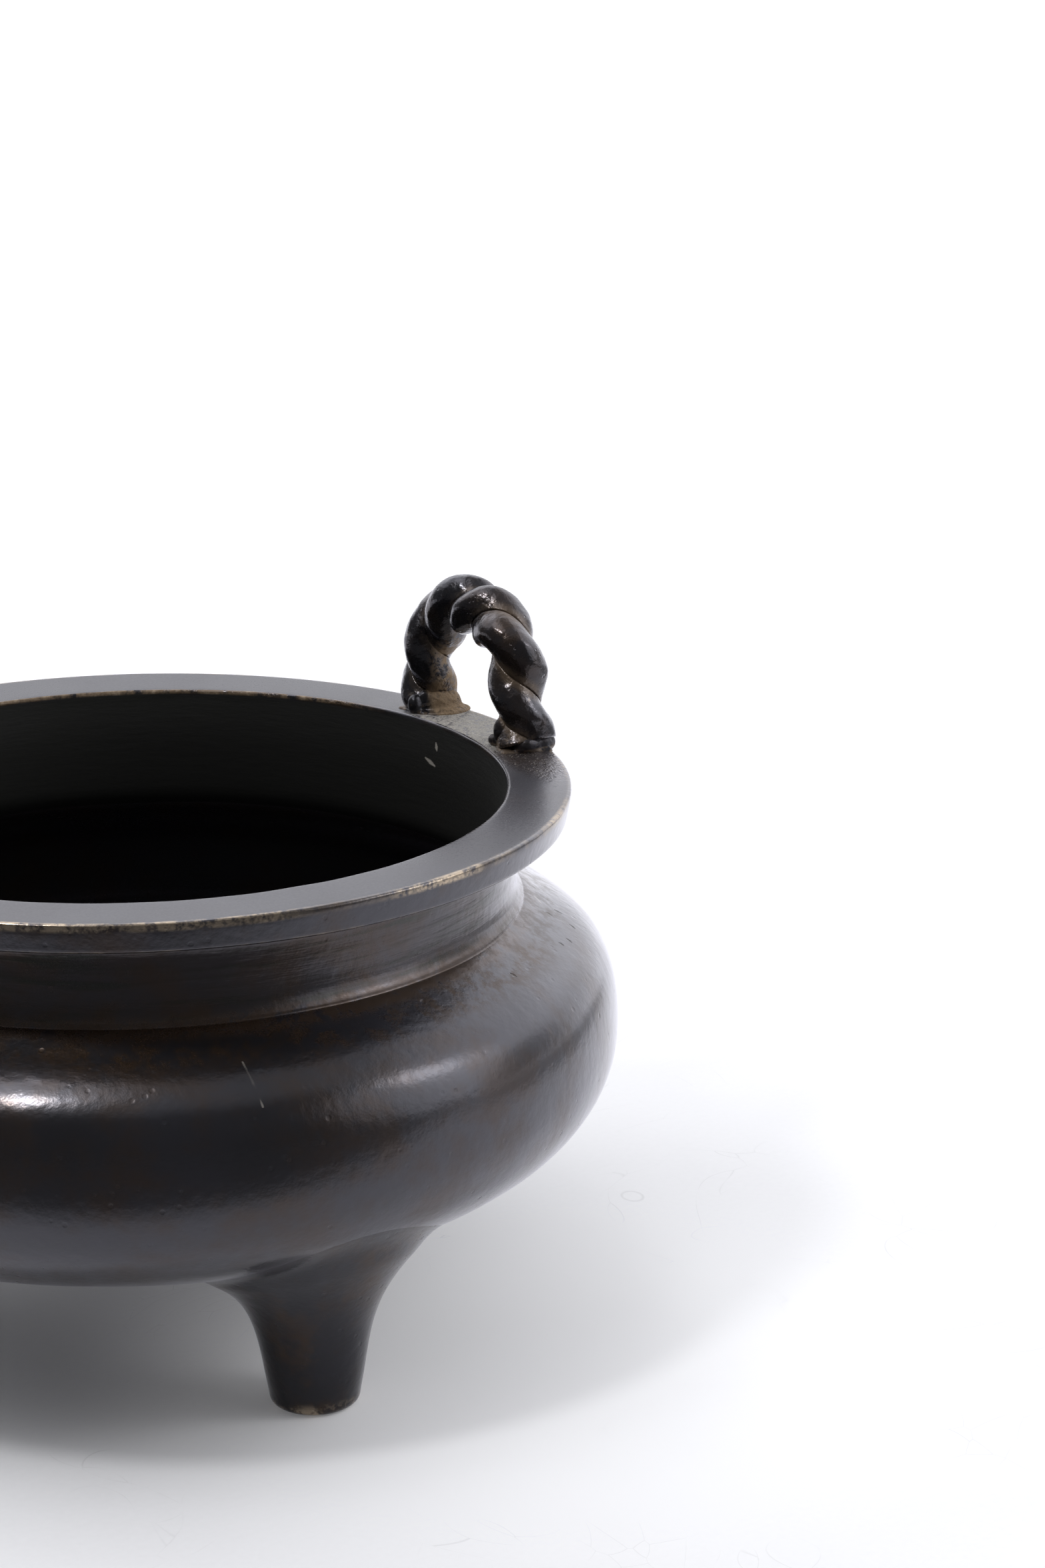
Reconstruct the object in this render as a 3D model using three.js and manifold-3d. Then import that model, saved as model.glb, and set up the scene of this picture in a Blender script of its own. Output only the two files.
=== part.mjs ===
// Bronze tripod censer: a low bulbous bowl with a short neck and a flat lip, three
// flaring feet under the belly, and two rope-twist handles that stand on the lip.
// Millimetres, +Z up. The origin lies on the bowl's axis, at the height of the soles.
// The handles stand at +X and -X. The front foot points to -Y, the others lie 120 degrees on.
import * as THREE from "three";
import { mergeVertices } from "three/addons/utils/BufferGeometryUtils.js";
import Module from "manifold-3d";

const wasm = await Module();
wasm.setup();

// Gaps between the pieces
const seatGap = 0.3; // between a piece and the one that it stands on
const strandGap = 0.55; // between the two strands of a rope
const cutOverrun = 1; // how far a cut runs past the face that it opens

// The lip, a flat ring at the top of the bowl
const lipHeight = 80.3; // soles to the lip's top face
const lipRadius = 65;
const mouthRadius = 55.4; // inner edge of the top face
const lipBand = 4.4; // height of the lip's outer band
const lipBandLean = 0.7; // how far the band draws in at its lower edge
const lipEdgeWear = 0.8; // roundness of the worn outer edge
const lipUnderDrop = 1.7; // fall of the lip's underside, from the band in to the neck
const lipCove = 2; // roundness between the underside and the neck
const mouthBevelDepth = 1.6;

// The neck
const neckRadius = 56.5; // outside, at its waist
const neckWall = 2.5;
const neckRootRise = 3; // height of the hollow curve at the neck's foot
const neckRootShare = 0.25; // of that height, where the curve turns

// The belly
const foldRadius = 58; // the fold where the neck's foot meets the shoulder
const foldHeight = 62.7;
const bellyRadius = 72;
const bellyHeight = 42.9; // height of the widest circle
const bellyWall = 3.2;
const underRadius = 30; // edge of the nearly flat underside
const underHeight = 18.7;
const underCrown = 0.3; // the underside's edge lies this much above its centre
const floorThickness = 3.5;
const shoulderStartShares = { out: 0.572, down: 0.302 }; // from the fold to the widest circle
const shoulderEndShare = 0.257;
const flankStartShare = 0.576; // from the widest circle down to the underside
const flankEndShares = { inward: 0.364, down: 0.93 };

// The feet
const footCount = 3;
const footInset = 21.3; // the belly's widest circle to a foot's axis
const footCircleRadius = bellyRadius - footInset; // bowl's axis to a foot's axis
const soleRadius = 4.4; // the flat that stands on the table
const ankleRadius = 6.6; // at the top of the rounded sole edge
const ankleHeight = 2;
const shinRadius = 7.7; // guides the foot's hollow flare, low
const shinHeight = 11;
const calfRadius = 9.5; // guides the flare, high
const calfHeight = 17;
const flareRadius = 18; // where the flare meets the belly
const climbPower = 3; // how late, going up, the foot takes on the slope of the underside

// The handles
const handleSpan = 26.6; // between the middles of a handle's two ends
const handleRise = 19.4; // lip's top face to the rope's middle at the crown
const crownShift = 1; // the crown leans this far towards the rope's first end
const handleOffset = 1; // the ends stand this much outside the middle of the lip
const archSquareness = 2.9; // 2 is an ellipse, more is squarer
const strandRadius = 3.25;
const strandOffset = 1.65; // rope's middle to a strand's middle
const ropeLay = 16.2; // length of one full turn of the twist
const ropePhase = 2; // degrees, the strands' angle at the rope's first end
const ropeEndShare = 0.9; // the rope's thickness at its ends, of its thickness at the crown

// The seats, low cast pads with a peg let into the lip
const seatAcross = 7.6; // across the lip
const seatAlong = 8.2; // along the lip
const seatCorner = 1.4;
const seatHeight = 1.5;
const seatBevel = 0.4;
const pegRadius = 1.6;
const pegLength = 3;

// Facets
const bowlSides = 72;
const footSides = 28;
const pegSides = 12;
const shoulderSteps = 8;
const flankSteps = 9;
const smallCurveSteps = 3;
const flareSteps = 9;
const ropeSteps = 84;
const strandBackSides = 7;
const strandFlatSides = 4;
const cornerSteps = 3;
const bisections = 40; // halvings that find a height on the belly's underside

// Finishes
const bowlBronze = { color: "#2b2927", roughness: 0.4, metalness: 0.85 };
const footBronze = { color: "#2a2724", roughness: 0.45, metalness: 0.85 };
const handleBronze = { color: "#302a26", roughness: 0.35, metalness: 0.85 };
const seatBronze = { color: "#4a4034", roughness: 0.6, metalness: 0.6 };

function named(name, geometry, finish) {
  const mesh = new THREE.Mesh(geometry, new THREE.MeshStandardMaterial(finish));
  mesh.name = name;
  return mesh;
}

// A closed geometry as a solid. A mirrored one has its faces turned back outwards.
function solidFrom(geometry, mirrored = false) {
  const bare = geometry.clone();
  bare.deleteAttribute("normal");
  bare.deleteAttribute("uv");
  const merged = mergeVertices(bare);
  const vertProperties = new Float32Array(merged.attributes.position.array);
  const triVerts = new Uint32Array(merged.index.array);
  if (mirrored) triVerts.reverse();
  return new wasm.Manifold(new wasm.Mesh({ numProp: 3, vertProperties, triVerts }));
}

function geometryFrom(solid) {
  const mesh = solid.getMesh();
  const geometry = new THREE.BufferGeometry();
  geometry.setAttribute("position", new THREE.BufferAttribute(new Float32Array(mesh.vertProperties), 3));
  geometry.setIndex(new THREE.BufferAttribute(new Uint32Array(mesh.triVerts), 1));
  geometry.computeVertexNormals();
  return geometry;
}

// A turned solid about the Z axis, from a profile of (radius, height) points.
function turned(profile, sides) {
  return new THREE.LatheGeometry(profile, sides).rotateX(Math.PI / 2);
}

function point(radius, height) {
  return new THREE.Vector2(radius, height);
}

// Each point of a curve, moved to its left by a distance.
function offsetPoints(curve, steps, distance) {
  const moved = [];
  for (let i = 0; i <= steps; i += 1) {
    const tangent = curve.getTangent(i / steps);
    const place = curve.getPoint(i / steps);
    moved.push(point(place.x - tangent.y * distance, place.y + tangent.x * distance));
  }
  return moved;
}

// The belly's outside, in two curves that run upwards.
const underEdge = point(underRadius, underHeight + underCrown);
const flankDrop = bellyHeight - underEdge.y;
const shoulderDrop = foldHeight - bellyHeight;

const flank = new THREE.CubicBezierCurve(
  underEdge,
  point(
    bellyRadius - (bellyRadius - underRadius) * flankEndShares.inward,
    bellyHeight - flankDrop * flankEndShares.down,
  ),
  point(bellyRadius, bellyHeight - flankDrop * flankStartShare),
  point(bellyRadius, bellyHeight),
);

const shoulder = new THREE.CubicBezierCurve(
  point(bellyRadius, bellyHeight),
  point(bellyRadius, foldHeight - shoulderDrop * shoulderEndShare),
  point(
    foldRadius + (bellyRadius - foldRadius) * shoulderStartShares.out,
    foldHeight - shoulderDrop * shoulderStartShares.down,
  ),
  point(foldRadius, foldHeight),
);

// Height of the belly's underside at a distance from the axis.
function undersideAt(radius) {
  if (radius <= underRadius) {
    return underHeight + (underCrown * radius) / underRadius;
  }
  let low = 0;
  let high = 1;
  for (let i = 0; i < bisections; i += 1) {
    const middle = (low + high) / 2;
    if (flank.getPoint(middle).x < radius) low = middle;
    else high = middle;
  }
  return flank.getPoint(low).y;
}

function neckOutside() {
  const underTop = lipHeight - lipBand - lipUnderDrop;
  const root = new THREE.QuadraticBezierCurve(
    point(foldRadius, foldHeight),
    point(neckRadius, foldHeight + neckRootRise * neckRootShare),
    point(neckRadius, foldHeight + neckRootRise),
  );
  const cove = new THREE.QuadraticBezierCurve(
    point(neckRadius, underTop - lipCove),
    point(neckRadius, underTop),
    point(neckRadius + lipCove, underTop),
  );
  return [...root.getPoints(smallCurveSteps).slice(1), ...cove.getPoints(smallCurveSteps)];
}

function lipOutside() {
  const edge = new THREE.QuadraticBezierCurve(
    point(lipRadius, lipHeight - lipEdgeWear),
    point(lipRadius, lipHeight),
    point(lipRadius - lipEdgeWear, lipHeight),
  );
  return [point(lipRadius - lipBandLean, lipHeight - lipBand), ...edge.getPoints(smallCurveSteps)];
}

function bowlInside() {
  const neckInner = neckRadius - neckWall;
  const shoulderInside = offsetPoints(shoulder, shoulderSteps, bellyWall).reverse();
  const flankInside = offsetPoints(flank, flankSteps, bellyWall).reverse().slice(1, -1);
  const neckFoot = shoulderInside[0];
  const chamfer = Math.min(neckFoot.x - neckInner, neckWall);
  const floorHeight = underHeight + floorThickness;
  return [
    point(mouthRadius, lipHeight),
    point(neckInner, lipHeight - mouthBevelDepth),
    point(neckInner, neckFoot.y + chamfer),
    ...shoulderInside,
    ...flankInside,
    point(underRadius, floorHeight),
    point(0, floorHeight),
  ];
}

function bowlGeometry() {
  const profile = [
    point(0, underHeight),
    ...flank.getPoints(flankSteps),
    ...shoulder.getPoints(shoulderSteps).slice(1),
    ...neckOutside(),
    ...lipOutside(),
    ...bowlInside(),
  ];
  let bowl = solidFrom(turned(profile, bowlSides));
  for (const seat of seatPlaces()) {
    const depth = pegLength + seatGap;
    const holeRadius = pegRadius + seatGap;
    const hole = new THREE.CylinderGeometry(holeRadius, holeRadius, depth + cutOverrun, pegSides);
    hole.rotateX(Math.PI / 2).rotateZ(seat.angle);
    hole.translate(seat.x, seat.y, lipHeight - depth + (depth + cutOverrun) / 2);
    bowl = bowl.subtract(solidFrom(hole));
  }
  return geometryFrom(bowl);
}

// The belly without its hollow, one seat gap larger all round, to cut the feet's tops.
function bellyCutter() {
  const flankOutside = offsetPoints(flank, flankSteps, -seatGap);
  const shoulderOutside = offsetPoints(shoulder, shoulderSteps, -seatGap).slice(1);
  const profile = [
    point(0, underHeight - seatGap),
    ...flankOutside,
    ...shoulderOutside,
    point(0, foldHeight),
  ];
  return solidFrom(turned(profile, bowlSides));
}

// One foot, with its axis at a distance from the bowl's axis along +X. It is turned as
// if the underside were level, then stretched in height to follow the belly's slope.
function footGeometry() {
  const nominalTop = undersideAt(footCircleRadius);
  const soleEdge = new THREE.QuadraticBezierCurve(
    point(soleRadius, 0),
    point(ankleRadius, 0),
    point(ankleRadius, ankleHeight),
  );
  const flare = new THREE.CubicBezierCurve(
    point(ankleRadius, ankleHeight),
    point(shinRadius, shinHeight),
    point(calfRadius, calfHeight),
    point(flareRadius, nominalTop),
  );
  const profile = [
    point(0, 0),
    ...soleEdge.getPoints(smallCurveSteps),
    ...flare.getPoints(flareSteps).slice(1),
    point(flareRadius, nominalTop + floorThickness),
    point(0, nominalTop + floorThickness),
  ];
  const geometry = turned(profile, footSides);
  const places = geometry.attributes.position;
  for (let i = 0; i < places.count; i += 1) {
    const x = footCircleRadius + places.getX(i);
    const y = places.getY(i);
    const height = places.getZ(i);
    const climb = Math.min(1, height / nominalTop) ** climbPower;
    const rise = undersideAt(Math.min(Math.hypot(x, y), bellyRadius)) - nominalTop;
    places.setXYZ(i, x, y, height + rise * climb);
  }
  return geometryFrom(solidFrom(geometry).subtract(bellyCutter()));
}

// Where the handles' ends stand: radius and half angle on the lip.
const seatRadius = (mouthRadius + lipRadius) / 2 + handleOffset;
const seatAngle = Math.asin(handleSpan / 2 / seatRadius);
const handlePlane = seatRadius * Math.cos(seatAngle);

function seatPlaces() {
  const places = [];
  for (const handleTurn of [0, Math.PI]) {
    for (const side of [-1, 1]) {
      const angle = handleTurn + side * seatAngle;
      places.push({ x: seatRadius * Math.cos(angle), y: seatRadius * Math.sin(angle), angle });
    }
  }
  return places;
}

// A pad with rounded corners and softened edges, and its peg, with the pad's underside at zero.
function seatGeometry() {
  const halfX = seatAcross / 2 - seatBevel;
  const halfY = seatAlong / 2 - seatBevel;
  const corner = seatCorner - seatBevel;
  const outline = new THREE.Shape();
  outline.absarc(halfX - corner, halfY - corner, corner, 0, Math.PI / 2);
  outline.absarc(corner - halfX, halfY - corner, corner, Math.PI / 2, Math.PI);
  outline.absarc(corner - halfX, corner - halfY, corner, Math.PI, Math.PI * 1.5);
  outline.absarc(halfX - corner, corner - halfY, corner, Math.PI * 1.5, Math.PI * 2);
  const pad = new THREE.ExtrudeGeometry(outline, {
    depth: seatHeight - 2 * seatBevel,
    bevelSize: seatBevel,
    bevelThickness: seatBevel,
    bevelSegments: 1,
    curveSegments: cornerSteps,
  });
  pad.translate(0, 0, seatBevel);
  const pegTop = seatHeight / 2;
  const peg = new THREE.CylinderGeometry(pegRadius, pegRadius, pegLength + pegTop, pegSides);
  peg.rotateX(Math.PI / 2);
  peg.translate(0, 0, (pegTop - pegLength) / 2);
  return geometryFrom(solidFrom(pad).add(solidFrom(peg)));
}

// The rope's middle line: an arch in the YZ plane, upright at both ends.
class ArchCurve extends THREE.Curve {
  constructor(halfSpan, rise) {
    super();
    this.halfSpan = halfSpan;
    this.rise = rise;
  }

  getPoint(t) {
    const angle = Math.PI * t;
    const power = 2 / archSquareness;
    const along = -Math.sign(Math.cos(angle)) * Math.abs(Math.cos(angle)) ** power;
    const up = Math.abs(Math.sin(angle)) ** power;
    return new THREE.Vector3(0, this.halfSpan * along - crownShift * up ** 2, this.rise * up);
  }
}

// A strand's section: a round back and a flat face against the other strand.
function strandSection() {
  const flatHeight = strandGap / 2;
  const start = Math.asin((flatHeight - strandOffset) / strandRadius);
  const section = [];
  for (let i = 0; i <= strandBackSides; i += 1) {
    const angle = start + ((Math.PI - 2 * start) * i) / strandBackSides;
    section.push(point(strandRadius * Math.cos(angle), strandOffset + strandRadius * Math.sin(angle)));
  }
  const halfFlat = strandRadius * Math.cos(start);
  for (let i = 1; i < strandFlatSides; i += 1) {
    section.push(point(halfFlat * ((2 * i) / strandFlatSides - 1), flatHeight));
  }
  return section;
}

// One strand: a straight bar of the section, wound along the arch. The section is mirrored
// so that the facets' long edges follow the left-handed lay.
function strandGeometry(firstAngle) {
  const footHeight = seatGap + seatHeight + seatGap;
  const arch = new ArchCurve(handleSpan / 2, handleRise - footHeight);
  const turn = -(2 * Math.PI * arch.getLength()) / ropeLay;
  const bar = new THREE.ExtrudeGeometry(new THREE.Shape(strandSection()), {
    depth: 1,
    steps: ropeSteps,
    bevelEnabled: false,
  });
  const places = bar.attributes.position;
  const level = new THREE.Vector3(1, 0, 0);
  for (let i = 0; i < places.count; i += 1) {
    const share = Math.min(1, Math.max(0, places.getZ(i)));
    const centre = arch.getPointAt(share);
    const tangent = arch.getTangentAt(share);
    const outward = new THREE.Vector3().crossVectors(level, tangent);
    const thickness = ropeEndShare + (1 - ropeEndShare) * Math.sqrt(Math.sin(Math.PI * share));
    const angle = firstAngle + turn * share;
    const x = -places.getX(i) * thickness;
    const y = places.getY(i) * thickness;
    const a = x * Math.cos(angle) - y * Math.sin(angle);
    const b = x * Math.sin(angle) + y * Math.cos(angle);
    centre.addScaledVector(outward, a).addScaledVector(level, b);
    places.setXYZ(i, centre.x, centre.y, centre.z + footHeight);
  }
  return geometryFrom(solidFrom(bar, true));
}

function addFeet(censer) {
  const foot = footGeometry();
  const names = ["front_foot", "right_rear_foot", "left_rear_foot"];
  for (let i = 0; i < footCount; i += 1) {
    const mesh = named(names[i], foot, footBronze);
    mesh.rotation.z = (2 * Math.PI * i) / footCount - Math.PI / 2;
    censer.add(mesh);
  }
}

function addHandles(censer) {
  const sides = ["right", "left"];
  sides.forEach((side, index) => {
    const handle = new THREE.Group();
    handle.position.z = lipHeight;
    handle.rotation.z = Math.PI * index;
    ["first", "second"].forEach((which, strandIndex) => {
      const firstAngle = THREE.MathUtils.degToRad(ropePhase) + Math.PI * strandIndex;
      const strand = named(`${side}_handle_${which}_strand`, strandGeometry(firstAngle), handleBronze);
      strand.position.x = handlePlane;
      handle.add(strand);
    });
    censer.add(handle);
  });
}

function addSeats(censer) {
  const names = [
    "right_handle_front_seat",
    "right_handle_rear_seat",
    "left_handle_rear_seat",
    "left_handle_front_seat",
  ];
  seatPlaces().forEach((place, index) => {
    const seat = named(names[index], seatGeometry(), seatBronze);
    seat.position.set(place.x, place.y, lipHeight + seatGap);
    seat.rotation.z = place.angle;
    censer.add(seat);
  });
}

const censer = new THREE.Group();
censer.add(named("bowl", bowlGeometry(), bowlBronze));
addFeet(censer);
addHandles(censer);
addSeats(censer);

export default censer;
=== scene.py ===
import math

import bpy
from mathutils import Matrix, Vector


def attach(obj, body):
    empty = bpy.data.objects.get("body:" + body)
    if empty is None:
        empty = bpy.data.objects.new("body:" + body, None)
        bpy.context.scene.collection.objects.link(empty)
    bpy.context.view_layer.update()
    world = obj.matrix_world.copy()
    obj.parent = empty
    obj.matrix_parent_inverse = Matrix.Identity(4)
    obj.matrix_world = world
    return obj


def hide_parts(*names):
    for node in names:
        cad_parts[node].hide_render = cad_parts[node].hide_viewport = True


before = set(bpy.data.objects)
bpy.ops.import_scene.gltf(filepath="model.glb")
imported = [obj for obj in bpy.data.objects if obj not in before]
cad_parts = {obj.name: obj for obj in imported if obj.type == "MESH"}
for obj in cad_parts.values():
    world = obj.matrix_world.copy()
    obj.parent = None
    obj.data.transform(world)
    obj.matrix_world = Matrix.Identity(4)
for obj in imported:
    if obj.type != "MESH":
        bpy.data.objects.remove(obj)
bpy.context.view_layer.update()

mm = 0.001
print("frame loaded")


# Working in edit mode

def shareBetween(value, start, end):  # 0 at the start, 1 at the end
    return min(1, max(0, (value - start) / (end - start)))


def deselectAll():
    bpy.ops.object.select_all(action="DESELECT")


def editMode(selectMode="VERT"):
    bpy.ops.object.mode_set(mode="EDIT")
    bpy.ops.mesh.select_mode(type=selectMode)


def objectMode():
    bpy.ops.object.mode_set(mode="OBJECT")


def selectWhere(piece, test):  # vertices, by their place
    editMode()
    bpy.ops.mesh.select_all(action="DESELECT")
    objectMode()
    for vertex in piece.data.vertices:
        vertex.select = test(vertex.co)
    editMode()


def addRing(name, sides, radius, place):  # an open circle, with its edges selected in edit mode
    deselectAll()
    bpy.ops.mesh.primitive_circle_add(vertices=sides, radius=radius * mm, location=(0, 0, 0))
    piece = bpy.context.object
    piece.name = piece.data.name = name
    editMode("EDGE")
    bpy.ops.transform.translate(value=Vector(place) * mm)
    return piece


def growRings(rings):  # draws the selected ring out through (radius, height) rings
    for (radius, height), (nextRadius, nextHeight) in zip(rings, rings[1:]):
        rise = (0, 0, (nextHeight - height) * mm)
        bpy.ops.mesh.extrude_region_move(TRANSFORM_OT_translate={"value": rise})
        share = nextRadius / radius
        bpy.ops.transform.resize(value=(share, share, 1))


def closeRing():
    bpy.ops.mesh.extrude_region_move()
    bpy.ops.mesh.merge(type="CENTER")


def closeRingAt(piece, height):
    closeBy = 0.001 * mm
    selectWhere(piece, lambda co: abs(co.z - height * mm) < closeBy)
    bpy.ops.mesh.select_mode(type="EDGE")
    closeRing()


def turnOutwards():
    editMode()
    bpy.ops.mesh.select_all(action="SELECT")
    bpy.ops.mesh.normals_make_consistent(inside=False)
    objectMode()


def addModifier(piece, kind, settings):
    modifier = piece.modifiers.new(kind.title(), kind)
    for name, value in settings.items():
        setattr(modifier, name, value)
    return modifier


def applyModifiers(piece):
    deselectAll()
    piece.select_set(True)
    bpy.context.view_layer.objects.active = piece
    for modifier in list(piece.modifiers):
        bpy.ops.object.modifier_apply(modifier=modifier.name)


def smooth(piece, levels):
    addModifier(piece, "SUBSURF", {"levels": levels, "render_levels": levels})


def roughen(piece, look, group=""):  # slight unevenness of the casting
    cloud = bpy.data.textures.new(piece.name, "CLOUDS")
    cloud.noise_scale = look["lumpSize"] * mm
    cloud.noise_depth = look["lumpDepth"]
    settings = {"texture": cloud, "strength": look["lumpHeight"] * mm, "texture_coords": "GLOBAL"}
    settings["vertex_group"] = group
    addModifier(piece, "DISPLACE", settings)


def copyPiece(piece, name, turn):  # turned about the bowl's axis
    deselectAll()
    piece.select_set(True)
    bpy.context.view_layer.objects.active = piece
    bpy.ops.object.duplicate()
    copied = bpy.context.object
    copied.name = copied.data.name = name
    copied.rotation_euler.z = turn
    bpy.ops.object.transform_apply(location=True, rotation=True, scale=True)
    return copied


def finishPiece(piece, node, material):
    deselectAll()
    piece.select_set(True)
    bpy.context.view_layer.objects.active = piece
    bpy.ops.object.shade_smooth()
    piece.data.materials.clear()
    piece.data.materials.append(material)
    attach(piece, "root")
    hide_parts(node)


def bezier(start, first, second, end, steps):
    points = []
    for i in range(steps + 1):
        t = i / steps
        s = 1 - t
        shares = (s ** 3, 3 * s * s * t, 3 * s * t * t, t ** 3)
        corners = (start, first, second, end)
        points.append(tuple(sum(k * c[axis] for k, c in zip(shares, corners)) for axis in (0, 1)))
    return points


# Shader sockets

class Wire:  # an output socket of a node, with arithmetic
    def __init__(self, tree, socket):
        self.tree = tree
        self.socket = socket

    def node(self, kind, settings, sockets, output=0):
        made = self.tree.nodes.new("ShaderNode" + kind)
        for name, value in settings.items():
            setattr(made, name, value)
        for name, value in sockets.items():
            if isinstance(value, Wire):
                self.tree.links.new(value.socket, made.inputs[name])
            else:
                made.inputs[name].default_value = value
        return Wire(self.tree, made.outputs[output])

    def math(self, operation, *values):
        return self.node("Math", {"operation": operation}, dict(enumerate(values)))

    def __add__(self, other):
        return self.math("ADD", self, other)

    def __sub__(self, other):
        return self.math("SUBTRACT", self, other)

    def __rsub__(self, other):
        return self.math("SUBTRACT", other, self)

    def __mul__(self, other):
        return self.math("MULTIPLY", self, other)

    def __truediv__(self, other):
        return self.math("DIVIDE", self, other)

    def __rtruediv__(self, other):
        return self.math("DIVIDE", other, self)

    __radd__ = __add__
    __rmul__ = __mul__

    def power(self, other):
        return self.math("POWER", self, other)

    def smaller(self, other):
        return self.math("MINIMUM", self, other)

    def larger(self, other):
        return self.math("MAXIMUM", self, other)

    def size(self):
        return self.math("ABSOLUTE", self)

    def between(self, low, high):  # a soft step from 0 at low to 1 at high
        sockets = {"Value": self, "From Min": low, "From Max": high}
        return self.node("MapRange", {"interpolation_type": "SMOOTHSTEP"}, sockets)

    def band(self, middle, half, soft):  # 1 near the middle, 0 beyond half
        return 1 - (self - middle).size().between(half - soft, half + soft)

    def noise(self, scale, detail=3, roughness=0.5):
        sockets = {"Vector": self, "Scale": scale, "Detail": detail, "Roughness": roughness}
        return self.node("TexNoise", {}, sockets)

    def cells(self, scale, feature="F1"):
        return self.node("TexVoronoi", {"feature": feature}, {"Vector": self, "Scale": scale})

    def blend(self, colour, mask):  # this colour, with another over it
        return self.node("Mix", {"data_type": "RGBA"}, {0: mask, 6: self, 7: colour}, 2)

    def vector(self, operation, *values):
        return self.node("VectorMath", {"operation": operation}, dict(enumerate(values)))

    def awayFrom(self, point):  # distance
        return self.node("VectorMath", {"operation": "DISTANCE"}, {0: self, 1: tuple(point)}, 1)

    def parts(self):
        return [self.node("SeparateXYZ", {}, {0: self}, axis) for axis in (0, 1, 2)]

    def joined(self, second, third):  # a vector that starts with this number
        return self.node("CombineXYZ", {}, {0: self, 1: second, 2: third})


def paint(red, green, blue):
    return (red, green, blue, 1)


def newMaterial(name):
    material = bpy.data.materials.new(name)
    material.use_nodes = True
    tree = material.node_tree
    tree.nodes.clear()
    return material, Wire(tree, None)


def strokes(place, marks):  # 1 on short scratches or nicks, each a start, an end and a width in mm
    total = place.awayFrom((0, 0, 0)) * 0
    for start, end, width in marks:
        a = Vector(start) * mm
        run = Vector(end) * mm - a
        fromStart = place.vector("SUBTRACT", place, tuple(a))
        perLength = tuple(run / run.length_squared)
        along = place.node("VectorMath", {"operation": "DOT_PRODUCT"}, {0: fromStart, 1: perLength}, 1)
        along = along.larger(0).smaller(1)
        foot = place.node("VectorMath", {"operation": "SCALE"}, {0: tuple(run), "Scale": along})
        away = place.node("VectorMath", {"operation": "DISTANCE"}, {0: fromStart, 1: foot}, 1)
        taper = (1 - (along - 0.5).size() * 1.2) * (width * mm)  # narrower towards its ends
        total = total.larger(1 - (away / taper).between(0.4, 1))
    return total


# Camera

view = {
    "place": (-0.2373, -0.4728, 0.2365),
    "looking": (0.5207, 0.8048, -0.2848),
    "roll": -0.26,  # degrees
    "lens": 84.2,
    "sensor": 36,
    "nearest": 0.01,
}


def addCamera():
    bpy.ops.object.camera_add(location=view["place"])
    camera = bpy.context.object
    camera.name = "camera"
    forward = Vector(view["looking"]).normalized()
    right = forward.cross(Vector((0, 0, 1))).normalized()
    above = right.cross(forward)
    roll = math.radians(view["roll"])
    right, above = (
        right * math.cos(roll) + above * math.sin(roll),
        above * math.cos(roll) - right * math.sin(roll),
    )
    turn = Matrix((right, above, -forward)).transposed()
    camera.rotation_euler = turn.to_euler()
    camera.data.lens = view["lens"]
    camera.data.sensor_width = view["sensor"]
    camera.data.clip_start = view["nearest"]
    bpy.context.scene.camera = camera


addCamera()
print("camera placed")


# Lamps, room and floor

studio = {
    "keyPlace": (-0.205, -0.065, 0.445),  # a soft box close above, to the left
    "keyAim": (0, 0, 0.05),
    "keySize": (0.06, 0.075),
    "keyPower": 0.43,
    "fillFrom": (-37, 38),  # azimuth and elevation
    "fillSpread": 16,  # degrees
    "fillLight": 0.25,
    "wallFrom": 30,  # azimuth of the middle of the bright walls
    "wallReach": (-0.05, 0.5),  # cosines, from the dark side to the bright walls
    "wallRise": (0.22, 0.5),  # sines of the elevation, from the walls' foot upwards
    "wallLight": 1.6,
    "lowLight": 1.05,  # of the walls' foot
    "darkLight": 0.12,
    "ceilingRise": (0.72, 0.92),
    "ceilingLight": 0.47,
    "panels": (  # azimuth and elevation, reach as cosines, light
        ((12, 8), (0.86, 0.97), 0.35),  # low on the right
        ((-45, 22), (0.87, 0.97), 1.15),  # in front, to the right
        ((168, 70), (0.94, 0.99), 1.5),  # overhead, to the left
        ((115, 48), (0.8, 0.94), 1.2),  # at the back
        ((-17, 3), (0.93, 0.99), -0.65),  # a dark one, low on the right
    ),
    "white": (0.97, 0.975, 1.0),
}


def direction(azimuth, elevation):
    a = math.radians(azimuth)
    e = math.radians(elevation)
    return Vector((math.cos(a) * math.cos(e), math.sin(a) * math.cos(e), math.sin(e)))


def addKeyLamp():
    place = Vector(studio["keyPlace"])
    bpy.ops.object.light_add(type="AREA", location=place)
    lamp = bpy.context.object
    lamp.name = "key_lamp"
    lamp.rotation_euler = (place - Vector(studio["keyAim"])).to_track_quat("Z", "Y").to_euler()
    lamp.data.shape = "ELLIPSE"
    lamp.data.size, lamp.data.size_y = studio["keySize"]
    lamp.data.energy = studio["keyPower"]


def addFillLamp():
    bpy.ops.object.light_add(type="SUN", location=direction(*studio["fillFrom"]))
    lamp = bpy.context.object
    lamp.name = "fill_lamp"
    lamp.rotation_euler = direction(*studio["fillFrom"]).to_track_quat("Z", "Y").to_euler()
    lamp.data.angle = math.radians(studio["fillSpread"])
    lamp.data.energy = studio["fillLight"]


addKeyLamp()
addFillLamp()


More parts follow.
